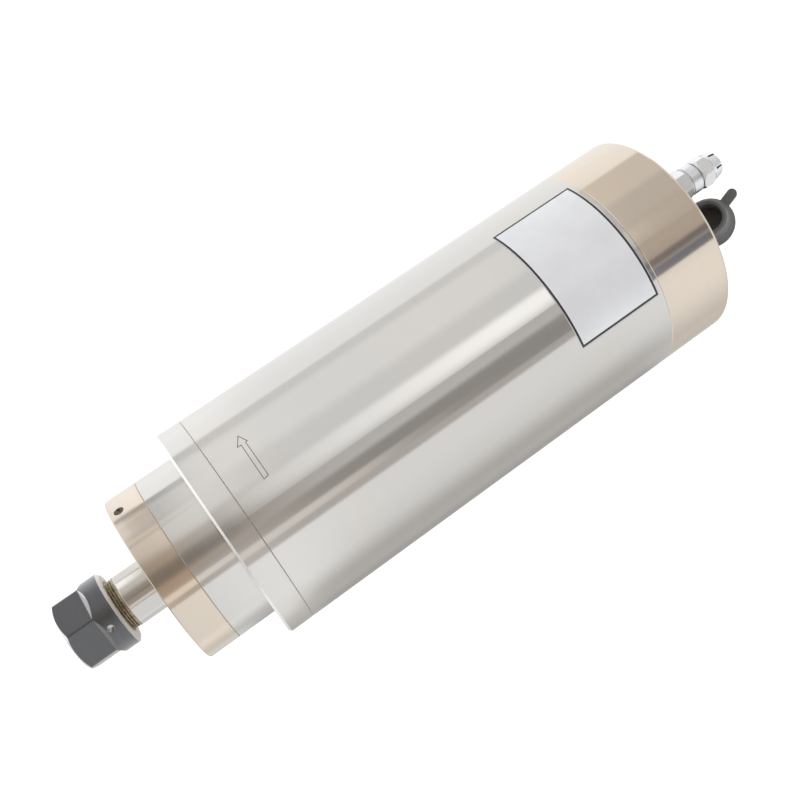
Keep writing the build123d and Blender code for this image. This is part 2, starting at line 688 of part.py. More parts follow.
with BuildPart() as fitting_body_out:
    with BuildSketch(Plane.YZ.offset(rear_x - 9.6)):
        with Locations(fit_b):
            Circle(4.75)
    extrude(amount=11.0)
    with BuildSketch(Plane(origin=(0, fit_b[0], fit_b[1]), x_dir=(1, 0, 0), z_dir=(0, -1, 0))):
        with BuildLine():
            Polyline(*fitting_profile, close=True)
        make_face()
    revolve(axis=Axis((0, fit_b[0], fit_b[1]), (1, 0, 0)))
    with BuildSketch(Plane.YZ.offset(rear_x + 1.0)):
        with Locations(fit_b):
            Circle(12.0)
            RegularPolygon(6.5, 6, major_radius=False, rotation=22, mode=Mode.SUBTRACT)
    extrude(amount=10.6, mode=Mode.SUBTRACT)
    with BuildSketch(Plane.YZ.offset(rear_x - 12.0)):
        with Locations(fit_b):
            Circle(2.5)
    extrude(amount=40.0, mode=Mode.SUBTRACT)
    with BuildSketch(Plane.YZ.offset(rear_x + 18.2)):
        with Locations(fit_b):
            Circle(4.1)
    extrude(amount=10.0, mode=Mode.SUBTRACT)
fitting_body_out.part.label = "fitting_body_out"
export_step(fitting_body_out.part, "parts/fitting_body_out.step")

with BuildPart() as fitting_washers:
    with BuildSketch(Plane.YZ.offset(rear_x)):
        with Locations(fit_a, fit_b):
            Circle(6.6)
            Circle(4.85, mode=Mode.SUBTRACT)
    extrude(amount=1.0)
fitting_washers.part.label = "fitting_washers"
export_step(fitting_washers.part, "parts/fitting_washers.step")

# Gripping ring that the hose nut presses on the hose.
fer_x0, fer_x1 = rear_x + 22.9, rear_x + 24.6
with BuildPart() as hose_ring_in:
    with BuildSketch(Plane.YZ.offset(fer_x0)):
        with Locations(fit_a):
            Circle(5.1)
            Circle(4.15, mode=Mode.SUBTRACT)
    extrude(amount=fer_x1 - fer_x0)
hose_ring_in.part.label = "hose_ring_in"
export_step(hose_ring_in.part, "parts/hose_ring_in.step")

with BuildPart() as hose_ring_out:
    with BuildSketch(Plane.YZ.offset(fer_x0)):
        with Locations(fit_b):
            Circle(5.1)
            Circle(4.15, mode=Mode.SUBTRACT)
    extrude(amount=fer_x1 - fer_x0)
hose_ring_out.part.label = "hose_ring_out"
export_step(hose_ring_out.part, "parts/hose_ring_out.step")

# Hose nuts: hexagon with a tapered nose that has six slots.
nut_x0 = rear_x + 17.8
nut_x1 = rear_x + 23.9
nut_x2 = rear_x + 29.7
for place, phase, name in ((fit_a, nut_hex_phase, "hose_nut_in"), (fit_b, 22.0, "hose_nut_out")):
    y, z = place
    with BuildPart() as hose_nut:
        with BuildSketch(Plane(origin=(0, y, z), x_dir=(1, 0, 0), z_dir=(0, -1, 0))):
            with BuildLine():
                Polyline((nut_x0, 5.3), (nut_x0, 6.4), (nut_x0 + 1.0, 7.45), (nut_x1 - 0.9, 7.45),
                         (nut_x1, 6.8), (nut_x2 - 1.2, 5.85), (nut_x2 - 0.35, 5.3), (nut_x2, 4.8),
                         (nut_x2, 4.1), (nut_x1 + 0.9, 4.1), (nut_x1 + 0.9, 5.3), close=True)
            make_face()
        revolve(axis=Axis((0, y, z), (1, 0, 0)))
        with BuildSketch(Plane.YZ.offset(nut_x0 - 0.5)):
            with Locations(place):
                Circle(12.0)
                RegularPolygon(6.5, 6, major_radius=False, rotation=60 + phase, mode=Mode.SUBTRACT)
        extrude(amount=nut_x1 - nut_x0 + 0.9, mode=Mode.SUBTRACT)
        with BuildSketch(Plane.YZ.offset(nut_x1 + 1.5)):
            with Locations(place):
                with PolarLocations(5.5, 6, start_angle=phase + 64):
                    Rectangle(4.2, 1.0)
        extrude(amount=6.0, mode=Mode.SUBTRACT)
    hose_nut.part.label = name
    export_step(hose_nut.part, "parts/" + name + ".step")

# ================================================================ power connector
sock_x1 = rear_x + 18.0
with BuildPart() as connector_shell:
    with BuildSketch(Plane.YZ.offset(rear_x)):
        with Locations(conn):
            RectangleRounded(23.0, 23.0, 2.5)
    extrude(amount=3.0)
    with BuildSketch(Plane.YZ.offset(rear_x - 6.0)):
        with Locations(conn):
            Circle(9.0)
    extrude(amount=sock_x1 - rear_x + 6.0)
    with BuildSketch(Plane.YZ.offset(rear_x - 7.0)):
        with Locations(conn):
            Circle(8.4)
    extrude(amount=30.0, mode=Mode.SUBTRACT)
    with BuildSketch(Plane.YZ.offset(rear_x + 3.0)):
        with Locations(conn):
            Circle(9.6)
            Circle(8.4, mode=Mode.SUBTRACT)
    extrude(amount=4.2)
    with BuildSketch(Plane.YZ.offset(rear_x + 7.2)):
        with Locations(conn):
            Circle(10.0)
            Circle(8.4, mode=Mode.SUBTRACT)
    extrude(amount=sock_x1 - rear_x - 7.2)
    with BuildSketch(Plane.YZ.offset(rear_x - 1.0)):
        with Locations(conn):
            with GridLocations(17.6, 17.6, 2, 2):
                Circle(1.6)
    extrude(amount=6.0, mode=Mode.SUBTRACT)
connector_shell.part.label = "connector_shell"
export_step(connector_shell.part, "parts/connector_shell.step")

with BuildPart() as connector_insert:
    with BuildSketch(Plane.YZ.offset(rear_x - 6.0)):
        with Locations(conn):
            Circle(8.4)
            with PolarLocations(4.9, 4, start_angle=45):
                Circle(1.1, mode=Mode.SUBTRACT)
    extrude(amount=14.0)
connector_insert.part.label = "connector_insert"
export_step(connector_insert.part, "parts/connector_insert.step")

with BuildPart() as connector_pins:
    with BuildSketch(Plane.YZ.offset(rear_x - 9.0)):
        with Locations(conn):
            with PolarLocations(4.9, 4, start_angle=45):
                Circle(1.1)
    extrude(amount=24.0)
    chamfer(connector_pins.faces().sort_by(Axis.X)[-4:].edges(), 0.4)
connector_pins.part.label = "connector_pins"
export_step(connector_pins.part, "parts/connector_pins.step")

with BuildPart() as connector_screws:
    with BuildSketch(Plane.YZ.offset(rear_x + 3.0)):
        with Locations(conn):
            with GridLocations(17.6, 17.6, 2, 2):
                Circle(2.4)
    extrude(amount=1.5)
    with BuildSketch(Plane.YZ.offset(rear_x + 3.0)):
        with Locations(conn):
            with GridLocations(17.6, 17.6, 2, 2):
                Circle(1.23)
    extrude(amount=-9.5)
    with BuildSketch(Plane.YZ.offset(rear_x + 4.5)):
        with Locations(conn):
            with GridLocations(17.6, 17.6, 2, 2):
                Rectangle(2.6, 0.6)
                Rectangle(0.6, 2.6)
    extrude(amount=-0.8, mode=Mode.SUBTRACT)
connector_screws.part.label = "connector_screws"
export_step(connector_screws.part, "parts/connector_screws.step")

# Four insulated leads from the winding, through the bracket, to the pins.
pin_yz = [(conn[0] + 4.9 * cos(radians(45 + 90 * i)), conn[1] + 4.9 * sin(radians(45 + 90 * i))) for i in range(4)]
lead_yz = [(-19.5 + 1.45 * cos(radians(45 + 90 * i)), -14.0 + 1.45 * sin(radians(45 + 90 * i))) for i in range(4)]
with BuildPart() as lead_wires:
    for (py, pz), (ly, lz) in zip(pin_yz, lead_yz):
        with BuildLine() as lead_path:
            FilletPolyline((178.2, ly, lz), (213.0, ly, lz), (224.0, py, pz), (rear_x - 9.0, py, pz), radius=5.0)
        with BuildSketch(Plane(origin=(178.2, ly, lz), x_dir=(0, 1, 0), z_dir=(1, 0, 0))):
            Circle(0.95)
        sweep(path=lead_path.line)
lead_wires.part.label = "lead_wires"
export_step(lead_wires.part, "parts/lead_wires.step")

# ================================================================ dust cap
# Strap: a ring round the connector barrel and a tongue towards the cap.
strap_x = rear_x + 4.8
strap_a = Vector(strap_x + 1.0, conn[0] + 5.8, conn[1] + 9.9)
strap_b = cap_c - cap_t * 12.15 - cap_d * 0.8
strap_run = strap_b - strap_a
with BuildPart() as dust_cap_strap:
    with BuildSketch(Plane.YZ.offset(strap_x)):
        with Locations(conn):
            Circle(12.6)
            Circle(9.65, mode=Mode.SUBTRACT)
    extrude(amount=2.0)
    with BuildSketch(Plane(origin=strap_a, x_dir=cap_t.cross(cap_d), z_dir=strap_run)):
        Rectangle(4.4, 1.5)
    extrude(amount=strap_run.length)
dust_cap_strap.part.label = "dust_cap_strap"
export_step(dust_cap_strap.part, "parts/dust_cap_strap.step")

cap_plane = Plane(origin=cap_c, x_dir=cap_t, z_dir=cap_t.cross(cap_d))
with BuildPart() as dust_cap:
    with BuildSketch(cap_plane):
        with BuildLine():
            Polyline((0, -2.0), (10.4, -2.0), (11.6, -1.2), (11.6, 0.2), (10.6, 1.2), (9.3, 3.2), (8.6, 6.2),
                     (8.4, 10.6), (7.6, 11.5), (6.8, 11.5), (6.3, 11.0), (6.3, 0.6), (0, 0.6), close=True)
        make_face()
    revolve(axis=Axis(cap_c, cap_d))
    with BuildSketch(Plane(origin=cap_c, x_dir=cap_t, z_dir=cap_d).offset(-1.6)):
        with Locations((14.0, 0)):
            SlotOverall(9.6, 4.6)
    extrude(amount=2.0)
dust_cap.part.label = "dust_cap"
export_step(dust_cap.part, "parts/dust_cap.step")
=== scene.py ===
import json
import math

import bmesh
import bpy
import numpy as np
from mathutils import Matrix, Vector


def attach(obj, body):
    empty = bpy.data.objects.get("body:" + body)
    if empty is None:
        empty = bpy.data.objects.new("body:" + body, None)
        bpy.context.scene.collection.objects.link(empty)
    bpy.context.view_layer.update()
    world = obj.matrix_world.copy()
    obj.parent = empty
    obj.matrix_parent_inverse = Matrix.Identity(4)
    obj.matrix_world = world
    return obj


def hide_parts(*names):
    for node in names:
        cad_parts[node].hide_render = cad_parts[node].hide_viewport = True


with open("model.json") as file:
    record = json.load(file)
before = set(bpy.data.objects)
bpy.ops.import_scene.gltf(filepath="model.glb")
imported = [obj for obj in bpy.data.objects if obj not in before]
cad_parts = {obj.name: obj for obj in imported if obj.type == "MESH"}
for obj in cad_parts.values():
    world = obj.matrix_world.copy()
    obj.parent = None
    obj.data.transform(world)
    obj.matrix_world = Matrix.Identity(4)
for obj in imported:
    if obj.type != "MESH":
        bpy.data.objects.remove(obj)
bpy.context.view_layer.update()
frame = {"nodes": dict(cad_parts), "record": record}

MM = 0.001
scene = bpy.context.scene
nodes = frame["nodes"]

scene.view_settings.view_transform = "Standard"
scene.view_settings.look = "None"
scene.view_settings.exposure = 0.0
scene.view_settings.gamma = 1.0


# ------------------------------------------------------------------ node helpers
class Tree:
    """Short calls for building a node tree."""

    def __init__(self, owner):
        owner.use_nodes = True
        self.nt = owner.node_tree
        self.nt.nodes.clear()

    def node(self, kind, **inputs):
        n = self.nt.nodes.new(kind)
        for key, value in inputs.items():
            self.put(n.inputs[key.replace("_", " ")], value)
        return n

    def put(self, socket, value):
        if isinstance(value, bpy.types.NodeSocket):
            self.nt.links.new(value, socket)
        elif isinstance(value, (tuple, list)) and len(value) == 3 and socket.type == "RGBA":
            socket.default_value = (*value, 1.0)
        else:
            socket.default_value = value

    def math(self, op, a, b=0.0, c=None, clamp=False):
        n = self.nt.nodes.new("ShaderNodeMath")
        n.operation = op
        n.use_clamp = clamp
        self.put(n.inputs[0], a)
        self.put(n.inputs[1], b)
        if c is not None:
            self.put(n.inputs[2], c)
        return n.outputs[0]

    def vmath(self, op, a, b=(0.0, 0.0, 0.0)):
        n = self.nt.nodes.new("ShaderNodeVectorMath")
        n.operation = op
        self.put(n.inputs[0], a)
        self.put(n.inputs[1], b)
        return n.outputs[0]

    def ramp(self, value, lo, hi, to_lo=0.0, to_hi=1.0, smooth=False):
        n = self.nt.nodes.new("ShaderNodeMapRange")
        n.interpolation_type = "SMOOTHSTEP" if smooth else "LINEAR"
        n.clamp = True
        self.put(n.inputs[0], value)
        for i, v in zip((1, 2, 3, 4), (lo, hi, to_lo, to_hi)):
            self.put(n.inputs[i], v)
        return n.outputs[0]

    def mix(self, factor, a, b, blend="MIX"):
        n = self.nt.nodes.new("ShaderNodeMix")
        n.data_type = "RGBA"
        n.blend_type = blend
        n.clamp_factor = True
        self.put(n.inputs[0], factor)
        self.put(n.inputs[6], a)
        self.put(n.inputs[7], b)
        return n.outputs[2]

    def noise(self, vector, scale=1.0, detail=2.0, rough=0.5, distort=0.0):
        n = self.nt.nodes.new("ShaderNodeTexNoise")
        n.noise_dimensions = "3D"
        self.put(n.inputs["Vector"], vector)
        n.inputs["Scale"].default_value = scale
        n.inputs["Detail"].default_value = detail
        n.inputs["Roughness"].default_value = rough
        n.inputs["Distortion"].default_value = distort
        return n.outputs["Fac"]

    def obj(self):
        return self.nt.nodes.new("ShaderNodeTexCoord").outputs["Object"]

    def stretch(self, sx, sy, sz, vector=None):
        return self.vmath("MULTIPLY", vector if vector is not None else self.obj(), (sx, sy, sz))

    def bump(self, height, strength, distance, normal=None):
        n = self.nt.nodes.new("ShaderNodeBump")
        n.inputs["Strength"].default_value = strength
        n.inputs["Distance"].default_value = distance
        self.put(n.inputs["Height"], height)
        if normal is not None:
            self.put(n.inputs["Normal"], normal)
        return n.outputs[0]


def new_material(name):
    m = bpy.data.materials.new(name)
    t = Tree(m)
    out = t.node("ShaderNodeOutputMaterial")
    bsdf = t.node("ShaderNodeBsdfPrincipled")
    t.nt.links.new(bsdf.outputs[0], out.inputs[0])
    return m, t, bsdf


def tone(colour, k):
    return tuple(min(1.0, c * k) for c in colour)


# ------------------------------------------------------------------ materials
def turned_metal(name, base, other, rough, aniso=0.6, ring=1500.0, ring_amp=0.05, cloud=18.0,
                 bump=0.06, rough_amp=0.05, axis="X", rotation=0.25, dirt=0.0, broken=0.0, bare_and_highlight=None, bare_and_highlight_x=(-1.0, 1.0)):
    """Metal turned or ground round the X axis: fine rings, slow cloudy tint, rings in the roughness.
    broken is the roughness of the sloped faces, where an edge was broken with a file. The last two arguments give the
    colour of these sloped faces and the two stations along the axis between which it is laid: filed metal, lightened
    to near white as a painted highlight."""
    m, t, b = new_material(name)
    p = t.obj()
    fine = t.noise(t.stretch(ring, ring * 0.008, ring * 0.008, p), 1.0, 3.0, 0.6)
    band = t.noise(t.stretch(ring * 0.14, 4.0, 4.0, p), 1.0, 2.0, 0.5)
    blot = t.noise(p, cloud, 3.0, 0.55)
    colour = t.mix(t.ramp(blot, 0.35, 0.65), base, other)
    shade = t.math("ADD", t.math("MULTIPLY", t.math("SUBTRACT", fine, 0.5), 2.0 * ring_amp),
                   t.math("MULTIPLY", t.math("SUBTRACT", band, 0.5), 1.2 * ring_amp))
    grey = t.node("ShaderNodeCombineColor")
    v = t.math("ADD", 1.0, shade)
    for i in range(3):
        t.put(grey.inputs[i], v)
    colour = t.mix(1.0, colour, grey.outputs[0], "MULTIPLY")
    if dirt:
        spots = t.ramp(t.noise(p, 420.0, 4.0, 0.7), 0.66, 0.74)
        colour = t.mix(t.math("MULTIPLY", spots, dirt), colour, (0.25, 0.23, 0.2))
    b.inputs["Metallic"].default_value = 1.0
    r = t.math("ADD", rough, t.math("MULTIPLY", t.math("SUBTRACT", fine, 0.5), 2.0 * rough_amp))
    r = t.math("ADD", r, t.math("MULTIPLY", t.math("SUBTRACT", blot, 0.5), rough_amp))
    if broken:
        slope = t.nt.nodes.new("ShaderNodeSeparateXYZ")
        t.put(slope.inputs[0], t.nt.nodes.new("ShaderNodeTexCoord").outputs["Normal"])
        edge = t.math("ABSOLUTE", slope.outputs[0])
        r = t.math("MAXIMUM", r, t.ramp(edge, 0.15, 0.25, 0.0, broken))
        # painted highlight: the sloped faces between the two stations get a near-white colour, filed metal shown far
        # brighter than steel
        if bare_and_highlight:
            place = t.nt.nodes.new("ShaderNodeSeparateXYZ")
            t.put(place.inputs[0], p)
            here = t.math("MULTIPLY", t.ramp(place.outputs[0], bare_and_highlight_x[0] - 1e-4, bare_and_highlight_x[0]),
                          t.ramp(place.outputs[0], bare_and_highlight_x[1], bare_and_highlight_x[1] + 1e-4, 1.0, 0.0))
            sloped = t.math("MULTIPLY", t.ramp(edge, 0.15, 0.25), t.ramp(edge, 0.92, 0.96, 1.0, 0.0))
            colour = t.mix(t.math("MULTIPLY", sloped, here), colour, bare_and_highlight)
    t.put(b.inputs["Base Color"], colour)
    t.put(b.inputs["Roughness"], r)
    b.inputs["Anisotropic"].default_value = aniso
    b.inputs["Anisotropic Rotation"].default_value = rotation
    if aniso:
        tan = t.nt.nodes.new("ShaderNodeTangent")
        tan.direction_type = "RADIAL"
        tan.axis = axis
        t.put(b.inputs["Tangent"], tan.outputs[0])
    t.put(b.inputs["Normal"], t.bump(fine, bump, 2e-5))
    return m


def plain_metal(name, base, rough, speck=600.0, amp=0.06, bump=0.05, metallic=1.0, wear=0.0, wear_colour=None):
    """Plated, cast or machined metal with a fine even grain."""
    m, t, b = new_material(name)
    p = t.obj()
    grain = t.noise(p, speck, 4.0, 0.6)
    blot = t.noise(p, speck * 0.05, 2.0, 0.5)
    colour = t.mix(t.ramp(grain, 0.3, 0.7), tone(base, 1.0 - amp), tone(base, 1.0 + amp))
    colour = t.mix(t.math("MULTIPLY", t.ramp(blot, 0.4, 0.7), 0.35), colour, tone(base, 0.86))
    if wear:
        colour = t.mix(t.math("MULTIPLY", t.ramp(t.noise(p, speck * 0.2, 5.0, 0.7), 0.58, 0.7), wear), colour,
                       wear_colour or tone(base, 2.0))
    t.put(b.inputs["Base Color"], colour)
    b.inputs["Metallic"].default_value = metallic
    t.put(b.inputs["Roughness"], t.ramp(t.math("ADD", grain, blot), 0.7, 1.3, rough * 0.8, rough * 1.2))
    t.put(b.inputs["Normal"], t.bump(grain, bump, 3e-5))
    return m


def soft_polymer(name, base, rough, speck=900.0, amp=0.12, bump=0.12, sheen=0.0, spec=0.5):
    """Moulded rubber or plastic with a fine spark-eroded grain."""
    m, t, b = new_material(name)
    p = t.obj()
    grain = t.noise(p, speck, 5.0, 0.65)
    blot = t.noise(p, 60.0, 3.0, 0.5)
    colour = t.mix(t.ramp(grain, 0.3, 0.7), tone(base, 1.0 - amp), tone(base, 1.0 + amp))
    colour = t.mix(t.math("MULTIPLY", t.ramp(blot, 0.45, 0.7), 0.4), colour, tone(base, 1.25))
    t.put(b.inputs["Base Color"], colour)
    b.inputs["Metallic"].default_value = 0.0
    b.inputs["Specular IOR Level"].default_value = spec
    t.put(b.inputs["Roughness"], t.ramp(grain, 0.3, 0.7, rough * 0.9, min(1.0, rough * 1.1)))
    t.put(b.inputs["Normal"], t.bump(grain, bump, 5e-5))
    if sheen:
        b.inputs["Sheen Weight"].default_value = sheen
        b.inputs["Sheen Roughness"].default_value = 0.5
    return m


def facing(t, p, y0=0.0, z0=0.0):
    """In the part's own frame: axial and radial part of the surface direction, and distance from an axis along X."""
    n = t.nt.nodes.new("ShaderNodeSeparateXYZ")
    t.put(n.inputs[0], t.nt.nodes.new("ShaderNodeTexCoord").outputs["Normal"])
    q = t.nt.nodes.new("ShaderNodeSeparateXYZ")
    t.put(q.inputs[0], t.vmath("SUBTRACT", p, (0.0, y0, z0)))
    x, y, z = q.outputs
    far = t.math("SQRT", t.math("ADD", t.math("MULTIPLY", y, y), t.math("MULTIPLY", z, z)))
    along_r = t.math("ADD", t.math("MULTIPLY", y, n.outputs[1]), t.math("MULTIPLY", z, n.outputs[2]))
    return n.outputs[0], t.math("DIVIDE", along_r, far), far, x


def coated_nut(name):
    """Blackened and waxed steel. Chamfers, run-out ramps, rear face and the pin hole's floor are uncoated bright
    metal, and the faces turned to the rear are lightened to near white as a painted highlight.
    """
    m, t, b = new_material(name)
    p = t.obj()
    nx, nr, far, x = facing(t, p)
    slope = t.math("ABSOLUTE", nx)
    cut = t.math("MULTIPLY", t.ramp(slope, 0.25, 0.32), t.ramp(nx, -0.96, -0.90))
    floor_of_hole = t.math("MULTIPLY", t.ramp(far, 0.01440, 0.01450, 1.0, 0.0),
                           t.math("MULTIPLY", t.ramp(x, -0.0586, -0.0585), t.ramp(x, -0.0545, -0.0544, 1.0, 0.0)))
    bare_and_highlight = t.math("MAXIMUM", cut, floor_of_hole)
    fine = t.noise(t.stretch(1100.0, 12.0, 12.0, p), 1.0, 3.0, 0.6)
    blot = t.noise(p, 60.0, 3.0, 0.55)
    dark = t.mix(t.ramp(fine, 0.3, 0.7), (0.079, 0.083, 0.090), (0.100, 0.104, 0.112))
    dark = t.mix(t.math("MULTIPLY", t.ramp(blot, 0.4, 0.7), 0.3), dark, (0.075, 0.078, 0.084))
    bright = t.mix(t.ramp(fine, 0.3, 0.7), (0.56, 0.56, 0.57), (0.62, 0.62, 0.62))
    # painted highlight: faces turned to the rear (+X) are lightened to near white, beyond the colour of bare steel
    rear = t.ramp(nx, 0.2, 0.3)
    bright = t.mix(rear, bright, (0.93, 0.95, 0.97))
    t.put(b.inputs["Base Color"], t.mix(bare_and_highlight, dark, bright))
    b.inputs["Metallic"].default_value = 1.0
    t.put(b.inputs["Roughness"], t.math("ADD", t.math("MAXIMUM", t.ramp(bare_and_highlight, 0.0, 1.0, 0.36, 0.20), t.math("MULTIPLY", rear, 0.55)),
                                        t.math("MULTIPLY", t.math("SUBTRACT", fine, 0.5), 0.10)))
    t.put(b.inputs["Coat Weight"], t.ramp(bare_and_highlight, 0.0, 1.0, 1.0, 0.0))
    b.inputs["Coat Roughness"].default_value = 0.34
    t.put(b.inputs["Sheen Weight"], t.ramp(bare_and_highlight, 0.0, 1.0, 0.30, 0.0))
    b.inputs["Sheen Roughness"].default_value = 0.45
    t.put(b.inputs["Normal"], t.bump(fine, 0.10, 2e-5))
    return m


def slotted_nickel(name, y0, z0):
    """Bright nickel outside. The bore and the sawn walls of the slots are coloured near black as painted shade, and
    made rougher.
    """
    m, t, b = new_material(name)
    p = t.obj()
    nx, nr, far, x = facing(t, p, y0, z0)
    flat = t.math("ADD", t.math("MULTIPLY", nx, nx), t.math("MULTIPLY", nr, nr))
    # painted shade: the slot walls and the bore are masked here and coloured near black below, where the inside lies
    # in shadow
    sawn = t.math("MULTIPLY", t.ramp(flat, 0.25, 0.45, 1.0, 0.0), t.ramp(x, 0.2652, 0.2653))
    bore = t.ramp(far, 0.00430, 0.00440, 1.0, 0.0)
    painted_shade = t.math("MAXIMUM", sawn, bore)
    grain = t.noise(p, 700.0, 4.0, 0.6)
    bright = t.mix(t.ramp(grain, 0.3, 0.7), (0.715, 0.730, 0.755), (0.775, 0.790, 0.815))
    dark = t.mix(t.ramp(grain, 0.3, 0.7), (0.045, 0.045, 0.047), (0.075, 0.074, 0.073))
    t.put(b.inputs["Base Color"], t.mix(painted_shade, bright, dark))
    b.inputs["Metallic"].default_value = 1.0
    t.put(b.inputs["Roughness"], t.math("ADD", t.ramp(painted_shade, 0.0, 1.0, 0.28, 0.60),
                                        t.math("MULTIPLY", t.math("SUBTRACT", grain, 0.5), 0.06)))
    t.put(b.inputs["Normal"], t.bump(grain, 0.08, 3e-5))
    return m


def threaded_shaft(name, base, other, rough):
    """Ground steel with fine rings. The nose thread has an oily straw tint in its grooves."""
    m, t, b = new_material(name)
    p = t.obj()
    nx, nr, far, x = facing(t, p)
    fine = t.noise(t.stretch(2600.0, 20.0, 20.0, p), 1.0, 3.0, 0.6)
    blot = t.noise(p, 18.0, 3.0, 0.55)
    colour = t.mix(t.ramp(blot, 0.35, 0.65), tone(base, 0.985), other)
    colour = t.mix(t.ramp(fine, 0.3, 0.7, 0.0, 0.35), colour, tone(base, 0.95))
    oily = t.mix(t.ramp(far, 0.01095, 0.01150), (0.50, 0.44, 0.33), (0.40, 0.35, 0.26))
    oily = t.mix(t.ramp(t.noise(t.stretch(1500.0, 500.0, 500.0, p), 1.0, 3.0, 0.6), 0.40, 0.62), oily, (0.24, 0.20, 0.13))
    colour = t.mix(t.ramp(x, -0.0469, -0.0468, 1.0, 0.0), colour, oily)
    t.put(b.inputs["Base Color"], colour)
    b.inputs["Metallic"].default_value = 1.0
    t.put(b.inputs["Roughness"], t.math("ADD", t.ramp(x, -0.0469, -0.0468, 0.38, rough),
                                        t.math("MULTIPLY", t.math("SUBTRACT", fine, 0.5), 0.03)))
    b.inputs["Anisotropic"].default_value = 0.5
    b.inputs["Anisotropic Rotation"].default_value = 0.25
    tan = t.nt.nodes.new("ShaderNodeTangent")
    tan.direction_type = "RADIAL"
    tan.axis = "X"
    t.put(b.inputs["Tangent"], tan.outputs[0])
    t.put(b.inputs["Normal"], t.bump(fine, 0.03, 2e-5))
    return m


STEEL = (0.585, 0.577, 0.562)
STEEL_W = (0.600, 0.580, 0.552)
NICKEL = (0.640, 0.573, 0.495)
NICKEL_W = (0.655, 0.573, 0.480)

mats = {
    "satin_steel": turned_metal("satin_turned_steel", STEEL, STEEL_W, 0.125, aniso=0.7, ring=1400.0, ring_amp=0.014, rough_amp=0.02, bump=0.03),
    "warm_nickel": turned_metal("warm_nickel_plate", NICKEL, NICKEL_W, 0.125, aniso=0.6, ring=1700.0, ring_amp=0.02, rough_amp=0.02, bump=0.03),
    "ground_steel": turned_metal("ground_shaft_steel", (0.60, 0.585, 0.56), (0.61, 0.57, 0.52), 0.12, aniso=0.5, ring=2600.0, ring_amp=0.02, rough_amp=0.02, bump=0.03),
    "nut_steel": coated_nut("blackened_nut_steel"),
    "tool_steel": turned_metal("collet_tool_steel", (0.50, 0.49, 0.47), (0.47, 0.46, 0.44), 0.26, aniso=0.4, ring=2200.0, ring_amp=0.04),
    "bearing_steel": turned_metal("bearing_race_steel", (0.62, 0.62, 0.61), (0.60, 0.60, 0.59), 0.12, aniso=0.3, ring=3000.0, ring_amp=0.02),
    "cage_resin": soft_polymer("cage_fibre_resin", (0.30, 0.16, 0.06), 0.5, 2500.0, 0.25, 0.2),
    "jacket_alloy": turned_metal("jacket_turned_alloy", (0.66, 0.66, 0.66), (0.62, 0.63, 0.64), 0.32, aniso=0.5, ring=900.0, ring_amp=0.05),
    "lamination": turned_metal("stacked_lamination", (0.22, 0.22, 0.23), (0.26, 0.25, 0.24), 0.45, aniso=0.2, ring=4200.0, ring_amp=0.25, bump=0.3),
    "copper_wire": plain_metal("enamelled_copper", (0.62, 0.26, 0.12), 0.3, 800.0, 0.18, 0.3),
    "cast_alloy": plain_metal("cast_alloy", (0.52, 0.52, 0.53), 0.42, 500.0, 0.1, 0.3),
    "balance_brass": turned_metal("balance_brass", (0.72, 0.54, 0.26), (0.68, 0.50, 0.24), 0.24, aniso=0.4, ring=1500.0, ring_amp=0.05),
    "seal_rubber": soft_polymer("seal_rubber", (0.022, 0.022, 0.023), 0.62, 1500.0, 0.2, 0.15),
    "cap_rubber": soft_polymer("grey_cap_rubber", (0.118, 0.120, 0.122), 0.55, 700.0, 0.15, 0.16, sheen=0.08),
    "screw_steel": plain_metal("black_oxide_screw", (0.055, 0.053, 0.055), 0.33, 1200.0, 0.2, 0.15, wear=0.5, wear_colour=(0.22, 0.21, 0.20)),
    "spring_steel": plain_metal("spring_steel", (0.45, 0.45, 0.46), 0.28, 900.0, 0.08, 0.1),
    "bright_nickel": plain_metal("bright_nickel", (0.760, 0.775, 0.795), 0.34, 700.0, 0.06, 0.12),
    "washer_nylon": soft_polymer("washer_nylon", (0.62, 0.60, 0.55), 0.45, 600.0, 0.06, 0.08),
    "insert_plastic": soft_polymer("insert_black_plastic", (0.035, 0.035, 0.037), 0.42, 1100.0, 0.15, 0.12),
    "pin_brass": plain_metal("plated_pin_brass", (0.78, 0.60, 0.30), 0.2, 1500.0, 0.06, 0.06),
    "wire_cover": soft_polymer("lead_cover", (0.42, 0.06, 0.04), 0.5, 800.0, 0.1, 0.12),
    "foil": plain_metal("silver_foil", (0.835, 0.860, 0.900), 0.46, 1400.0, 0.02, 0.06, metallic=0.30),
    "border_print": plain_metal("black_border_print", (0.028, 0.028, 0.030), 0.40, 1400.0, 0.10, 0.05, metallic=0.0),
    "foil_rim": plain_metal("bare_foil_rim", (0.70, 0.70, 0.70), 0.30, 1400.0, 0.04, 0.06),
    "mark_grey": plain_metal("etched_mark_grey", (0.17, 0.17, 0.175), 0.55, 1600.0, 0.15, 0.10, metallic=0.4),
    # painted highlight: the near-white colour on the housing's sloped seam faces
    "housing_steel": turned_metal("front_housing_steel", STEEL, STEEL_W, 0.125, aniso=0.7, ring=1400.0, ring_amp=0.014, rough_amp=0.02, bump=0.03, broken=0.50, bare_and_highlight=(0.90, 0.90, 0.89), bare_and_highlight_x=(-0.002, 0.004)),
    "ring_nickel": turned_metal("cover_ring_nickel", NICKEL, NICKEL_W, 0.125, aniso=0.6, ring=1700.0, ring_amp=0.02, rough_amp=0.02, bump=0.03, broken=0.5),
    "grub_steel": plain_metal("worn_grub_screw", (0.46, 0.45, 0.44), 0.42, 1200.0, 0.2, 0.2, metallic=0.6),
    "nose_shaft": threaded_shaft("ground_spindle_nose", (0.60, 0.585, 0.56), (0.61, 0.57, 0.52), 0.12),
    "slotted_a": slotted_nickel("slotted_nut_nickel_a", 0.0111, 0.0310),
    "slotted_b": slotted_nickel("slotted_nut_nickel_b", 0.0270, -0.0189),
}


def paint(obj, material):
    obj.data.materials.clear()
    obj.data.materials.append(material)


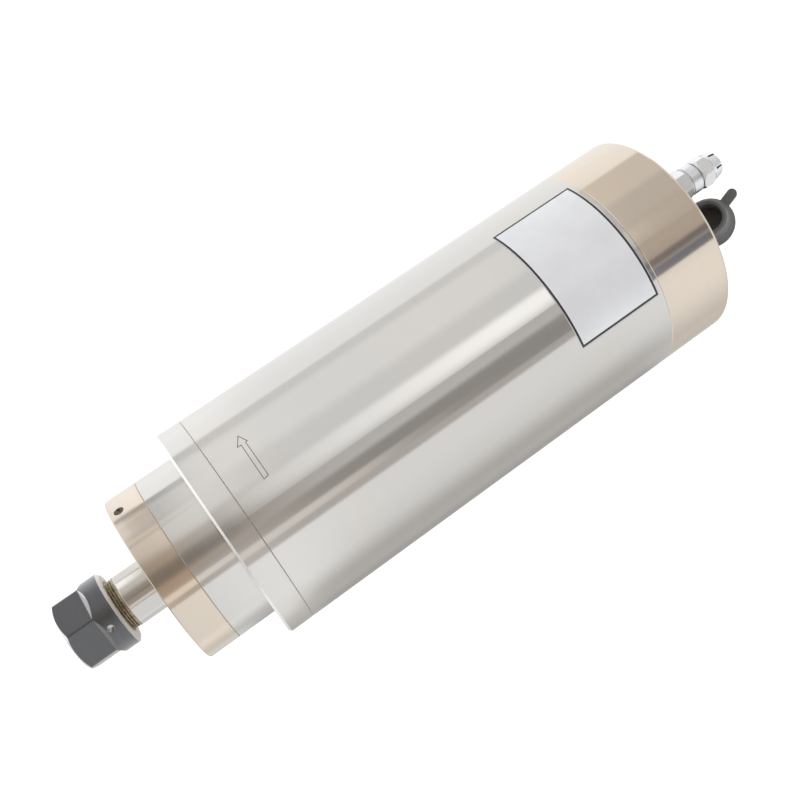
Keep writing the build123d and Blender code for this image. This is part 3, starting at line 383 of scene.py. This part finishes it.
slot_of = {p["node"]: p["material_slot"] for p in frame["record"]["subparts"]}
own = {"spindle_shaft": "nose_shaft", "front_housing": "housing_steel", "front_cover_ring": "ring_nickel",
       "cover_set_screw": "grub_steel", "hose_nut_in": "slotted_a", "hose_nut_out": "slotted_b"}
for name, obj in nodes.items():
    paint(obj, mats[own.get(name) or slot_of.get(name, "satin_steel")])


# ------------------------------------------------------------------ rating plate and direction mark
def on_body(x, phi, r):
    """A point x mm along the axis, at phi degrees about it (0 is +Z, positive to -Y) and r mm from it."""
    a = math.radians(phi)
    return Vector((x * MM, -r * math.sin(a) * MM, r * math.cos(a) * MM))


def finish_piece(name, bm, materials, body):
    bmesh.ops.remove_doubles(bm, verts=bm.verts, dist=1e-9)
    bmesh.ops.recalc_face_normals(bm, faces=bm.faces)
    me = bpy.data.meshes.new(name)
    bm.to_mesh(me)
    bm.free()
    for m in materials:
        me.materials.append(m)
    o = bpy.data.objects.new(name, me)
    scene.collection.objects.link(o)
    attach(o, body)
    return o


def curved_plate(name, x0, x1, phi0, phi1, r_in, r_out, rings, materials, body):
    """A thin plate bent round the body. rings are the widths, in mm, of the bands that run round its edge."""
    def steps(lo, hi, unit, step):
        marks = [0.0]
        for width in rings:
            marks.append(marks[-1] + width / unit)
        inner = np.linspace(lo + marks[-1], hi - marks[-1], max(2, int((hi - lo) / step)))
        return [lo + v for v in marks[:-1]] + list(inner) + [hi - v for v in reversed(marks[:-1])]
    xs = steps(x0, x1, 1.0, 3.0)
    ps = steps(phi0, phi1, math.radians(1.0) * r_out, 1.0)
    bm = bmesh.new()
    top = [[bm.verts.new(on_body(x, p, r_out)) for p in ps] for x in xs]
    low = [[bm.verts.new(on_body(x, p, r_in)) for p in ps] for x in xs]
    nx, np_ = len(xs), len(ps)
    for i in range(nx - 1):
        for j in range(np_ - 1):
            edge = min(i, j, nx - 2 - i, np_ - 2 - j)
            f = bm.faces.new((top[i][j], top[i][j + 1], top[i + 1][j + 1], top[i + 1][j]))
            f.material_index = max(0, len(rings) - edge)
            f.smooth = True
            g = bm.faces.new((low[i][j], low[i + 1][j], low[i + 1][j + 1], low[i][j + 1]))
            g.material_index = len(rings)
    for j in range(np_ - 1):
        for i in (0, nx - 1):
            bm.faces.new((top[i][j], top[i][j + 1], low[i][j + 1], low[i][j])).material_index = len(rings)
    for i in range(nx - 1):
        for j in (0, np_ - 1):
            bm.faces.new((top[i][j], top[i + 1][j], low[i + 1][j], low[i][j])).material_index = len(rings)
    return finish_piece(name, bm, materials, body)


def curved_outline(name, points, width, r_in, r_out, material, body):
    """A closed line of constant width drawn on the body through (x, phi) points, with mitred corners."""
    unit = math.radians(1.0) * r_out
    pts = [Vector((x, p * unit)) for x, p in points]
    n = len(pts)
    left, right_ = [], []
    for k in range(n):
        a = (pts[k] - pts[k - 1]).normalized()
        b = (pts[(k + 1) % n] - pts[k]).normalized()
        na, nb = Vector((-a.y, a.x)), Vector((-b.y, b.x))
        mitre = (na + nb).normalized()
        reach = width / 2 / max(0.3, mitre.dot(na))
        left.append(pts[k] + mitre * reach)
        right_.append(pts[k] - mitre * reach)
    bm = bmesh.new()
    rows = []
    for k in range(n):
        m = (k + 1) % n
        count = max(1, int((pts[m] - pts[k]).length / 0.5))
        for c in range(count):
            f = c / count
            l, r = left[k].lerp(left[m], f), right_[k].lerp(right_[m], f)
            rows.append([bm.verts.new(on_body(q.x, q.y / unit, rad)) for q, rad in
                         ((l, r_out), (r, r_out), (r, r_in), (l, r_in))])
    for k in range(len(rows)):
        a, b = rows[k], rows[(k + 1) % len(rows)]
        for i in range(4):
            bm.faces.new((a[i], a[(i + 1) % 4], b[(i + 1) % 4], b[i]))
    return finish_piece(name, bm, [material], body)


plate = curved_plate("rating_plate", 162.2, 204.2, -50.0, 26.0, 50.0, 50.055, (0.35, 1.0),
                     [mats["foil"], mats["border_print"], mats["foil_rim"]], "housing")
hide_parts("label_foil")
arrow = curved_outline("direction_mark", ((26.41, -34.26), (28.23, -29.33), (27.36, -29.15), (27.09, -10.2),
                                          (24.87, -9.72), (25.34, -29.25), (23.72, -29.30)),
                       0.30, 50.002, 50.016, mats["mark_grey"], "housing")


# ------------------------------------------------------------------ camera
cam_data = bpy.data.cameras.new("camera")
cam_data.lens = 46.29
cam_data.sensor_width = 36.0
cam_data.clip_start = 0.01
cam_data.clip_end = 50.0
cam = bpy.data.objects.new("camera", cam_data)
scene.collection.objects.link(cam)
right = Vector((0.80533121, -0.57051525, 0.16110244))
up = Vector((0.55721457, 0.82123619, 0.12281308))
back = Vector((-0.20236989, -0.00913658, 0.97926654))
view = Matrix.Identity(4)
for i in range(3):
    view[i][0], view[i][1], view[i][2] = right[i], up[i], back[i]
view.translation = Vector((0.00398, 0.0, 0.44588))
cam.matrix_world = view
scene.camera = cam

# ------------------------------------------------------------------ floor
floor_mesh = bpy.data.meshes.new("floor")
h = 4.0
floor_mesh.from_pydata([(-h, -h, 0), (h, -h, 0), (h, h, 0), (-h, h, 0)], [], [(0, 1, 2, 3)])
floor = bpy.data.objects.new("floor", floor_mesh)
floor.location = (0.1, 0.0, -0.0501)
scene.collection.objects.link(floor)
fm, ft, fb = new_material("pale_floor")
wash = ft.noise(ft.obj(), 0.6, 2.0, 0.5)
ft.put(fb.inputs["Base Color"], ft.mix(wash, (0.50, 0.50, 0.50), (0.52, 0.52, 0.52)))
fb.inputs["Roughness"].default_value = 1.0
fb.inputs["Specular IOR Level"].default_value = 0.0
ft.put(fb.inputs["Emission Color"], ft.mix(wash, (1.0, 1.0, 1.0), (0.995, 0.995, 0.995)))
fb.inputs["Emission Strength"].default_value = 0.80
paint(floor, fm)
floor.visible_glossy = False

# ------------------------------------------------------------------ studio light
# The studio is a ring of large cards round the X axis. theta is the angle round that axis, in degrees:
# 0 is straight up, -90 the +Y side, +90 the -Y side. along is the x part of the direction.
world = bpy.data.worlds.new("studio")
scene.world = world
w = Tree(world)
direction = w.node("ShaderNodeTexCoord").outputs["Generated"]
split = w.nt.nodes.new("ShaderNodeSeparateXYZ")
w.put(split.inputs[0], w.vmath("NORMALIZE", direction))
along, dy, dz = split.outputs
theta = w.math("MULTIPLY", w.math("ARCTAN2", w.math("MULTIPLY", dy, -1.0), dz), 57.29578)


def span(value, lo, hi, soft_lo, soft_hi):
    up_ = w.ramp(value, lo - soft_lo / 2, lo + soft_lo / 2, 0.0, 1.0, True)
    down = w.ramp(value, hi - soft_hi / 2, hi + soft_hi / 2, 1.0, 0.0, True)
    return w.math("MULTIPLY", up_, down)


def card(below, colour, lo, hi, soft_lo, soft_hi, x=None, strength=1.0):
    """One card of the studio, from theta lo to hi, laid over what is there. x limits it along the axis."""
    mask = span(theta, lo, hi, soft_lo, soft_hi)
    if x:
        mask = w.math("MULTIPLY", mask, span(along, *x))
    if strength != 1.0:
        mask = w.math("MULTIPLY", mask, strength)
    return w.mix(mask, below, colour)


def grey(v, warm=0.0):
    return (v * (1 + warm), v, v * (1 - warm))


NOSE = (-0.60, 0.065, 0.1, 0.05)        # the front of the spindle, shaft and cover ring
RING = (-0.60, -0.035, 0.1, 0.02)       # cover ring and shaft only
SHAFT = (-0.122, -0.088, 0.02, 0.02)    # shaft only
BODY = (0.065, 0.42, 0.05, 0.04)        # the long sleeve
REAR = (0.42, 0.80, 0.04, 0.1)          # the rear cap

sky = grey(0.97)
sky = card(sky, grey(1.25), -200, -97, 2, 2.5)                       # white floor of the far side
sky = card(sky, grey(1.27), -200, -88, 2, 3, REAR)
sky = card(sky, grey(1.38, -0.006), -200, -98.5, 2, 4, NOSE)
sky = card(sky, grey(1.05), -200, -97, 2, 3, SHAFT)
sky = card(sky, grey(1.06), -200, -146, 2, 40)                       # its far edge
sky = card(sky, grey(1.12, 0.005), -84, -44, 10, 14)                 # wall above it
sky = card(sky, grey(1.22), -80, -44, 14, 14, NOSE)
sky = card(sky, grey(0.82, 0.05), -90, -52, 2, 10, REAR)
sky = card(sky, grey(0.68, 0.03), -54, 0, 8, 6, REAR)
sky = card(sky, grey(0.30, 0.06), -97, -84, 4, 14, RING)
sky = card(sky, grey(0.32, 0.05), -84, -44, 10, 14, RING)
sky = card(sky, grey(0.96, 0.02), -48, -20, 12, 8, NOSE)
sky = card(sky, grey(0.72, 0.08), -58, -52, 6, 6, RING)
sky = card(sky, grey(0.84, 0.05), -50, -22, 6, 8, RING)
sky = card(sky, grey(0.72, 0.03), -6, 10, 8, 8)                      # ceiling
sky = card(sky, grey(0.56, 0.09), -2, 20, 8, 6, REAR)
sky = card(sky, grey(0.57, 0.08), -24, 20, 22, 8, (-0.60, 0.015, 0.1, 0.02))
sky = card(sky, (0.55, 0.44, 0.34), -24, 22, 22, 6, RING)
sky = card(sky, (0.64, 0.47, 0.35), 10, 23, 8, 3, (-0.086, -0.046, 0.01, 0.01))
sky = card(sky, grey(0.22, 0.16), -10, 8, 12, 10, (-0.60, 0.015, 0.1, 0.02))  # camera and its stand
sky = card(sky, grey(0.56, 0.08), 4, 24, 8, 6, (0.008, 0.072, 0.02, 0.03))
sky = card(sky, grey(0.40, 0.05), 11, 38.5, 7, 1.0, BODY)            # gap beside the softbox
sky = card(sky, (0.25, 0.225, 0.235), 19, 28, 4, 6, REAR)
sky = card(sky, (0.215, 0.235, 0.30), 28, 38.5, 6, 1.0, REAR)
sky = card(sky, grey(0.58, 0.06), 20, 38.5, 8, 1.0, NOSE)
sky = card(sky, grey(0.96, 0.05), 23.5, 31, 1.6, 1.2, (-0.60, 0.16, 0.1, 0.20))  # bare tube strip light
sky = card(sky, grey(0.62, 0.05), 31, 38.5, 1.2, 1.0, (-0.60, 0.42, 0.1, 0.05))  # its reflector
sky = card(sky, grey(0.80, 0.05), 31, 38.5, 1.2, 1.0, (-0.122, 0.03, 0.02, 0.03))
sky = card(sky, (0.36, 0.31, 0.24), 31.5, 38.5, 1.2, 1.0, (-0.086, -0.046, 0.01, 0.01))
sky = card(sky, (1.20, 1.10, 0.98), 23.5, 31, 1.6, 1.2, (-0.086, -0.046, 0.01, 0.01))
sky = card(sky, grey(1.12, 0.005), -20, -5, 8, 8, (0.018, 0.43, 0.02, 0.02))     # overhead strip softbox
sky = card(sky, grey(1.66, 0.003), -20, -5, 8, 8, (0.22, 0.43, 0.38, 0.02))
sky = card(sky, grey(0.60, 0.06), -24, 0, 8, 6, (0.425, 0.80, 0.02, 0.1))
sky = card(sky, grey(1.10), 38.5, 76, 1.0, 50)                       # softbox
sky = card(sky, grey(1.28), 38.5, 118, 1.0, 34, NOSE)
sky = card(sky, grey(1.05, -0.005), 38.5, 122, 1.0, 30, RING)
sky = card(sky, grey(1.18), 104, 146, 16, 24, RING)
sky = card(sky, grey(1.16, 0.003), 46, 90, 14, 40, REAR)
sky = card(sky, grey(0.64, 0.02), 99, 200, 34, 2, (0.02, 0.42, 0.03, 0.05))      # floor of the near side
sky = card(sky, grey(0.46, 0.02), 142, 200, 26, 2, (0.02, 0.42, 0.03, 0.05))
sky = card(sky, grey(0.68, 0.02), 124, 200, 36, 2, (-0.60, 0.02, 0.1, 0.03))
sky = card(sky, grey(0.52, 0.02), 146, 200, 24, 2, (-0.60, 0.02, 0.1, 0.03))
sky = card(sky, grey(0.90, 0.0), 130, 200, 30, 2, RING)
sky = card(sky, grey(0.68, 0.02), 156, 200, 24, 2, RING)
sky = card(sky, grey(0.78, 0.03), 112, 200, 30, 2, REAR)
sky = card(sky, grey(0.66, 0.02), 140, 200, 24, 2, REAR)
sky = card(sky, grey(1.10), 176, 200, 4, 2, REAR)                    # white floor behind the part
sky = card(sky, grey(1.90), -94, -58, 12, 26, (-0.165, -0.088, 0.03, 0.02))      # white board beside the shaft
sky = card(sky, grey(0.30, 0.05), -36, 10, 34, 12, SHAFT)
sky = card(sky, grey(0.42, 0.05), 8, 22, 8, 6, SHAFT)
sky = card(sky, grey(1.22, 0.01), -84, -24, 14, 10, (-0.034, 0.024, 0.01, 0.02))
sky = card(sky, grey(0.98, 0.05), 25, 37, 6, 2, SHAFT)
sky = card(sky, grey(1.40), -200, -40, 2, 30, (-1.1, -0.60, 0.1, 0.2))   # white end wall, far half
sky = card(sky, grey(1.05), 40, 166, 30, 6, (-1.1, -0.60, 0.1, 0.2))     # near half of the end wall
sky = card(sky, grey(0.30), 70, 150, 20, 10, (-1.1, -0.815, 0.1, 0.03))  # dark door in it
sky = w.mix(w.ramp(along, 0.93, 0.985, 0.0, 1.0, True), sky, grey(0.68))
lightpath = w.node("ShaderNodeLightPath")
sky = w.mix(lightpath.outputs["Is Camera Ray"], sky, (1.0, 1.0, 1.0))
bg = w.node("ShaderNodeBackground")
w.put(bg.inputs[0], sky)
bg.inputs[1].default_value = 1.0
wo = w.node("ShaderNodeOutputWorld")
w.nt.links.new(bg.outputs[0], wo.inputs[0])
world.cycles.sampling_method = "MANUAL"
world.cycles.sample_map_resolution = 512

# ------------------------------------------------------------------ close
bpy.context.view_layer.update()
